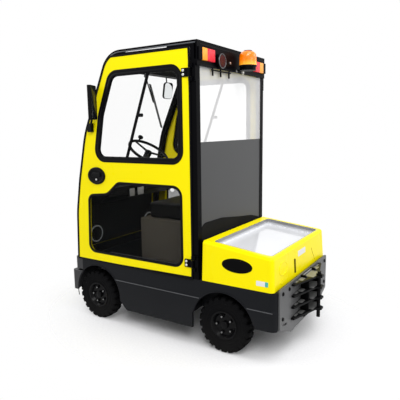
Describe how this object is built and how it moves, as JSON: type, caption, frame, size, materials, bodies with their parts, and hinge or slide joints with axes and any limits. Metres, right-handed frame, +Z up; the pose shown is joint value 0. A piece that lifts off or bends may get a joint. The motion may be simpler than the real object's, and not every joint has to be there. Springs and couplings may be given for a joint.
{
  "type": "airport baggage tug",
  "caption": "Battery tow tractor with a closed two-door cab over the front axle, an opening rear hood with a parcels tray and a stepped drawbar coupling.",
  "frame": {"origin": "on the floor, under the middle of the box round the whole tug", "axes": "+X forward, +Y to the driver's left, +Z up"},
  "size_m": [2.072, 1.3472, 2.2047],
  "materials": {
    "chassis_paint": "semi-matt charcoal paint",
    "bumper_paint": "semi-matt charcoal paint",
    "yellow_paint": "gloss yellow paint",
    "frame_black": "satin black paint",
    "plate_grey": "grey painted steel plate",
    "panel_grey": "dark grey satin panel",
    "tray_grey": "pale grey moulded tray",
    "clear_glass": "clear safety glass",
    "tinted_glass": "tinted safety glass",
    "seal_rubber": "black rubber seal",
    "tyre_rubber": "black tyre rubber",
    "rim_black": "gloss black rim",
    "black_steel": "black painted steel",
    "axle_steel": "dark cast and forged steel",
    "battery_case": "black battery case",
    "amber_lens": "amber lens",
    "red_lens": "red lens",
    "clear_lens": "clear lens",
    "beacon_orange": "orange lens",
    "seat_vinyl": "dark grey vinyl",
    "black_plastic": "black moulded plastic",
    "cab_liner": "dark grey liner"
  },
  "bodies": {
    "chassis": {"chassis": "chassis_paint", "frame_rails": "black_steel", "wheel_wells": "chassis_paint", "work_lamp": "black_plastic", "bumper": "bumper_paint", "battery": "battery_case", "rear_plate": "plate_grey", "coupling": "black_steel", "coupling_pin": "black_steel", "front_axle": "axle_steel", "rear_axle": "axle_steel", "cab_frame": "frame_black", "roof": "frame_black", "windscreen": "clear_glass", "front_panel": "yellow_paint", "headlamps": "clear_lens", "rear_panel": "panel_grey", "rear_window": "clear_glass", "lamp_header": "frame_black", "beacon": "beacon_orange", "amber_lamps": "amber_lens", "red_lamps": "red_lens", "wiper": "black_plastic", "seat_box": "cab_liner", "seat_cushion": "seat_vinyl", "seat_back": "seat_vinyl", "dash": "black_plastic", "steering_column": "black_plastic"},
    "hood": {"hood": "yellow_paint", "tray": "tray_grey"},
    "track_rod": {"track_rod": "axle_steel"},
    "steering_wheel": {"steering_wheel": "black_plastic"},
    "door_left": {"door_left": "yellow_paint", "window_seal_left": "seal_rubber", "door_glass_left": "clear_glass", "door_latch_left": "black_plastic", "mirror_left": "black_plastic"},
    "knuckle_left": {"knuckle_left": "axle_steel"},
    "wheel_front_left": {"tyre_front_left": "tyre_rubber", "rim_front_left": "rim_black"},
    "wheel_rear_left": {"tyre_rear_left": "tyre_rubber", "rim_rear_left": "rim_black"},
    "door_right": {"door_right": "yellow_paint", "window_seal_right": "seal_rubber", "door_glass_right": "clear_glass", "door_latch_right": "black_plastic", "mirror_right": "black_plastic"},
    "knuckle_right": {"knuckle_right": "axle_steel"},
    "wheel_front_right": {"tyre_front_right": "tyre_rubber", "rim_front_right": "rim_black"},
    "wheel_rear_right": {"tyre_rear_right": "tyre_rubber", "rim_rear_right": "rim_black"}
  },
  "joints": [
    {"name": "steer_left", "type": "hinge", "parent": "chassis", "child": "knuckle_left", "pos_m": [0.755, 0.415, 0.2075], "axis": [0, 0, 1], "range_deg": [-35, 35]},
    {"name": "wheel_front_left_spin", "type": "hinge", "parent": "knuckle_left", "child": "wheel_front_left", "pos_m": [0.755, 0.484, 0.2075], "axis": [0, 1, 0], "continuous": true},
    {"name": "wheel_rear_left_spin", "type": "hinge", "parent": "chassis", "child": "wheel_rear_left", "pos_m": [-0.483, 0.484, 0.2075], "axis": [0, 1, 0], "continuous": true},
    {"name": "door_left_hinge", "type": "hinge", "parent": "chassis", "child": "door_left", "pos_m": [-0.247, 0.564, 1.317], "axis": [0, 0, 1], "range_deg": [0, 80]},
    {"name": "steer_right", "type": "hinge", "parent": "chassis", "child": "knuckle_right", "pos_m": [0.755, -0.415, 0.2075], "axis": [0, 0, 1], "range_deg": [-35, 35]},
    {"name": "wheel_front_right_spin", "type": "hinge", "parent": "knuckle_right", "child": "wheel_front_right", "pos_m": [0.755, -0.484, 0.2075], "axis": [0, 1, 0], "continuous": true},
    {"name": "wheel_rear_right_spin", "type": "hinge", "parent": "chassis", "child": "wheel_rear_right", "pos_m": [-0.483, -0.484, 0.2075], "axis": [0, 1, 0], "continuous": true},
    {"name": "door_right_hinge", "type": "hinge", "parent": "chassis", "child": "door_right", "pos_m": [-0.247, -0.564, 1.317], "axis": [0, 0, -1], "range_deg": [0, 80]},
    {"name": "track_rod_swing", "type": "hinge", "parent": "knuckle_left", "child": "track_rod", "pos_m": [0.645, 0.415, 0.1575], "axis": [0, 0, 1], "range_deg": [-35, 35]},
    {"name": "steering_wheel_turn", "type": "hinge", "parent": "chassis", "child": "steering_wheel", "pos_m": [0.582, 0, 1.401], "axis": [-0.5446, 0, 0.8387], "range_deg": [-450, 450]},
    {"name": "hood_hinge", "type": "hinge", "parent": "chassis", "child": "hood", "pos_m": [-0.31, 0, 0.798], "axis": [0, 1, 0], "range_deg": [0, 70]}
  ],
  "couplings": [
    {"joint": "steer_right", "follows": "steer_left", "ratio": 1},
    {"joint": "track_rod_swing", "follows": "steer_left", "ratio": -1},
    {"joint": "steering_wheel_turn", "follows": "steer_left", "ratio": 12.85}
  ]
}
